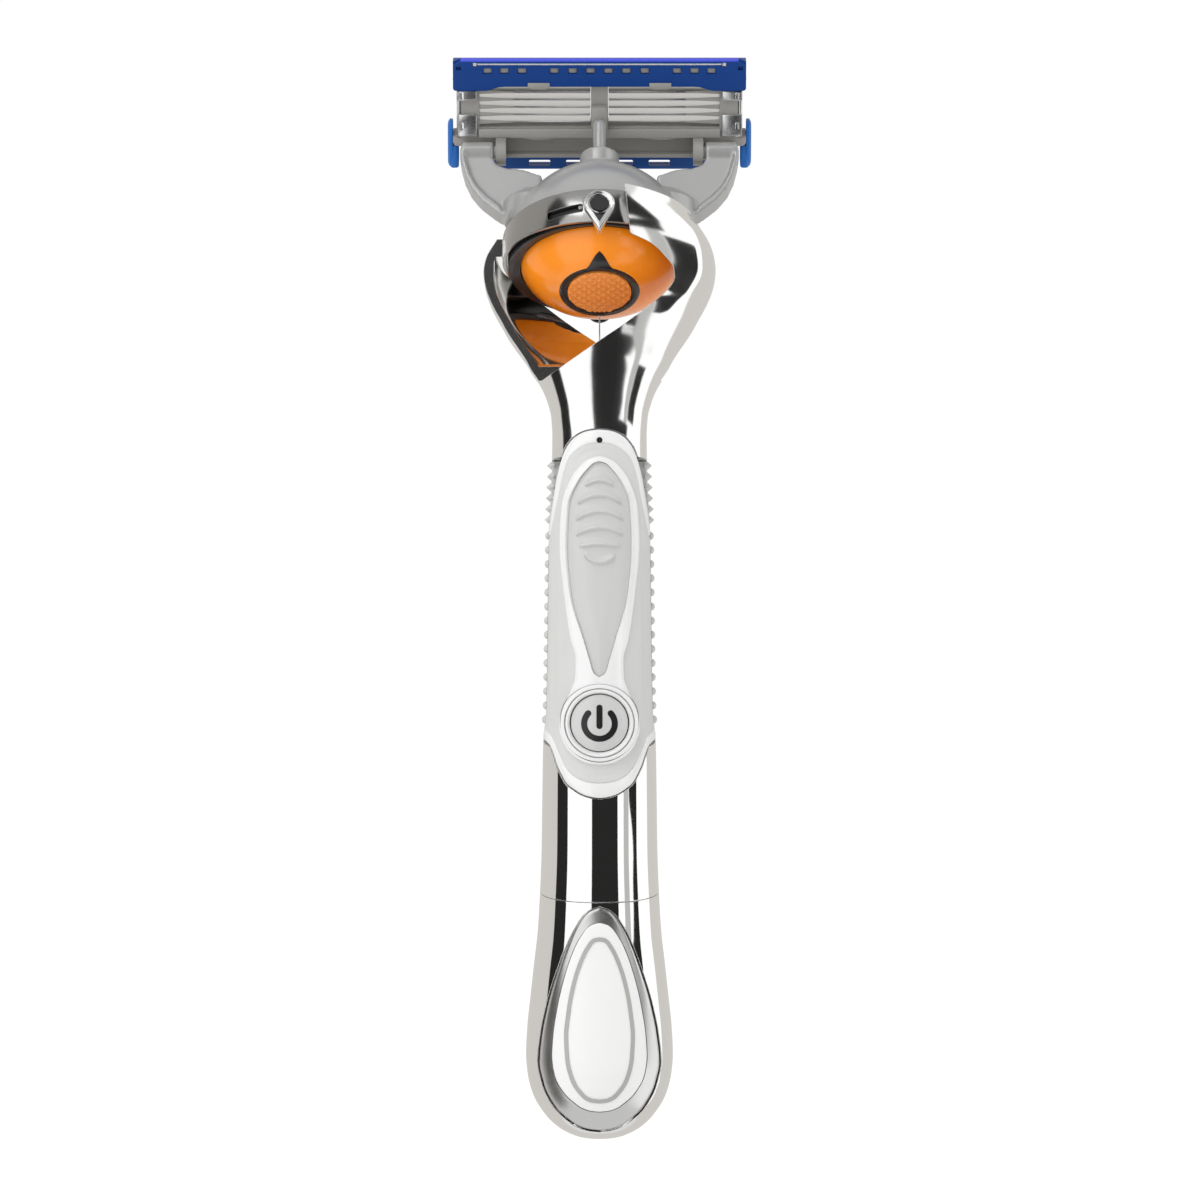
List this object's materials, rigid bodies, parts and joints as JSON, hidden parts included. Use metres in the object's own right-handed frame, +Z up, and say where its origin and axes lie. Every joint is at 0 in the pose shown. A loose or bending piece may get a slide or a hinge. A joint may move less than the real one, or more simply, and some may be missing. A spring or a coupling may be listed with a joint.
{
  "type": "cartridge razor",
  "caption": "Battery vibrating cartridge razor with a sprung ball head, pivoting blade cartridge, release button, power button and twist-off battery cap.",
  "frame": {"origin": "on the handle's centreline at thumb-pad height, where the hand holds it", "axes": "+Z up the handle to the head, -Y the thumb side, +X to the right seen from the thumb side"},
  "size_m": [0.0424, 0.0324, 0.1506],
  "materials": {
    "chrome": "mirror-bright plated",
    "band_chrome": "mirror-bright plated, dark",
    "dark_pin": "satin black",
    "spring_steel": "bright",
    "white_gloss": "gloss",
    "grey_rubber": "soft matte",
    "pad_rubber": "soft satin",
    "black_plastic": "satin black",
    "chassis_plastic": "moulded",
    "contact_brass": "plated",
    "board_green": "solder mask",
    "motor_steel": "plated",
    "weight_metal": "sintered",
    "button_grey": "gloss",
    "orange_gloss": "gloss",
    "orange_knurl": "satin",
    "yoke_grey": "satin grey",
    "housing_grey": "satin",
    "blade_steel": "ground",
    "cover_blue": "gloss",
    "strip_green": "waxy",
    "guard_blue": "satin",
    "clip_metal": "bright",
    "seal_rubber": "matte",
    "badge_grey": "gloss",
    "cell_sleeve": "printed foil, plain"
  },
  "bodies": {
    "handle": {"handle_shell": "chrome", "neck": "chrome", "cradle_front_arm": "chrome", "cradle_rear_arm": "chrome", "cradle_band": "band_chrome", "pivot_bezel": "chrome", "roll_pins": "dark_pin", "return_rod": "spring_steel", "panel_rim": "white_gloss", "front_grip": "grey_rubber", "grip_ridge": "white_gloss", "thumb_pad": "pad_rubber", "side_grips": "grey_rubber", "rear_grip": "grey_rubber", "button_bezel": "white_gloss", "indicator_lens": "black_plastic", "battery_chassis": "chassis_plastic", "contact_strips": "contact_brass", "circuit_board": "board_green", "tact_switch": "black_plastic", "motor_can": "motor_steel", "motor_cradle": "chassis_plastic"},
    "motor_rotor": {"motor_shaft": "motor_steel", "eccentric_weight": "weight_metal"},
    "power_button": {"button_cap": "button_grey", "power_icon": "black_plastic"},
    "ball_head": {"pod_body": "black_plastic", "pod_rim": "black_plastic", "ball_shell": "orange_gloss", "eject_surround": "black_plastic", "ejector_spring": "spring_steel"},
    "ejector": {"eject_pad": "orange_knurl", "ejector_pusher": "chassis_plastic"},
    "yoke": {"yoke_hub": "yoke_grey", "yoke_arm_right": "yoke_grey", "yoke_arm_left": "yoke_grey", "plunger_spring": "spring_steel"},
    "plunger": {"plunger_pin": "yoke_grey"},
    "cartridge": {"blade_housing": "housing_grey", "blade_1": "blade_steel", "blade_2": "blade_steel", "blade_3": "blade_steel", "blade_4": "blade_steel", "blade_5": "blade_steel", "blade_supports": "blade_steel", "trimmer_blade": "blade_steel", "back_cover": "cover_blue", "lubricating_strip": "strip_green", "guard_fins": "guard_blue", "guard_wings": "guard_blue", "clip_right": "clip_metal", "clip_left": "clip_metal"},
    "cap_seal": {"cap_o_ring": "seal_rubber"},
    "cap": {"cap_shell": "chrome", "badge_border": "band_chrome", "badge_plate": "white_gloss", "badge_ring": "badge_grey", "cap_spring": "spring_steel"},
    "battery": {"battery_can": "cell_sleeve", "battery_terminal": "blade_steel"}
  },
  "joints": [
    {"name": "head_roll", "type": "hinge", "parent": "handle", "child": "ball_head", "pos_m": [0, 0.00921, 0.0378], "axis": [0, -0.866, 0.5], "range_deg": [-10, 10], "stiffness_Nm_per_rad": 0.05, "deforming": ["return_rod"]},
    {"name": "cartridge_release", "type": "slide", "parent": "ball_head", "child": "yoke", "axis": [0, 0.5, 0.866], "range_m": [0, 0.012]},
    {"name": "eject_slide", "type": "slide", "parent": "ball_head", "child": "ejector", "axis": [0, 0.5878, 0.809], "range_m": [0, 0.003], "stiffness_N_per_m": 300, "springref_m": -0.001, "deforming": ["ejector_spring"]},
    {"name": "cartridge_pivot", "type": "hinge", "parent": "yoke", "child": "cartridge", "pos_m": [0, 0.01791, 0.05287], "axis": [1, 0, 0], "range_deg": [0, 40], "stiffness_Nm_per_rad": 0.02, "springref_deg": -8.59},
    {"name": "plunger_slide", "type": "slide", "parent": "yoke", "child": "plunger", "axis": [0, 0.5, 0.866], "range_m": [-0.0033, 0], "deforming": ["plunger_spring"]},
    {"name": "power_button_press", "type": "slide", "parent": "handle", "child": "power_button", "axis": [0, 0.9909, 0.1346], "range_m": [0, 0.0006], "stiffness_N_per_m": 1200, "springref_m": -0.0002},
    {"name": "motor_spin", "type": "hinge", "parent": "handle", "child": "motor_rotor", "pos_m": [0, 0.00002, -0.0025], "axis": [0, 0.0698, 0.9976], "continuous": true},
    {"name": "cap_twist", "type": "hinge", "parent": "handle", "child": "cap_seal", "pos_m": [0, 0.00291, -0.033], "axis": [0, 0.1736, -0.9848], "range_deg": [0, 40]},
    {"name": "cap_pull", "type": "slide", "parent": "cap_seal", "child": "cap", "axis": [0, 0.1736, -0.9848], "range_m": [0, 0.045], "deforming": ["cap_spring"]},
    {"name": "battery_slide", "type": "slide", "parent": "handle", "child": "battery", "axis": [0, 0.1736, -0.9848], "range_m": [0, 0.0225]}
  ],
  "couplings": [
    {"joint": "plunger_slide", "follows": "cartridge_pivot", "m_per_rad": -0.00455},
    {"joint": "battery_slide", "follows": "cap_pull", "ratio": 0.5}
  ]
}
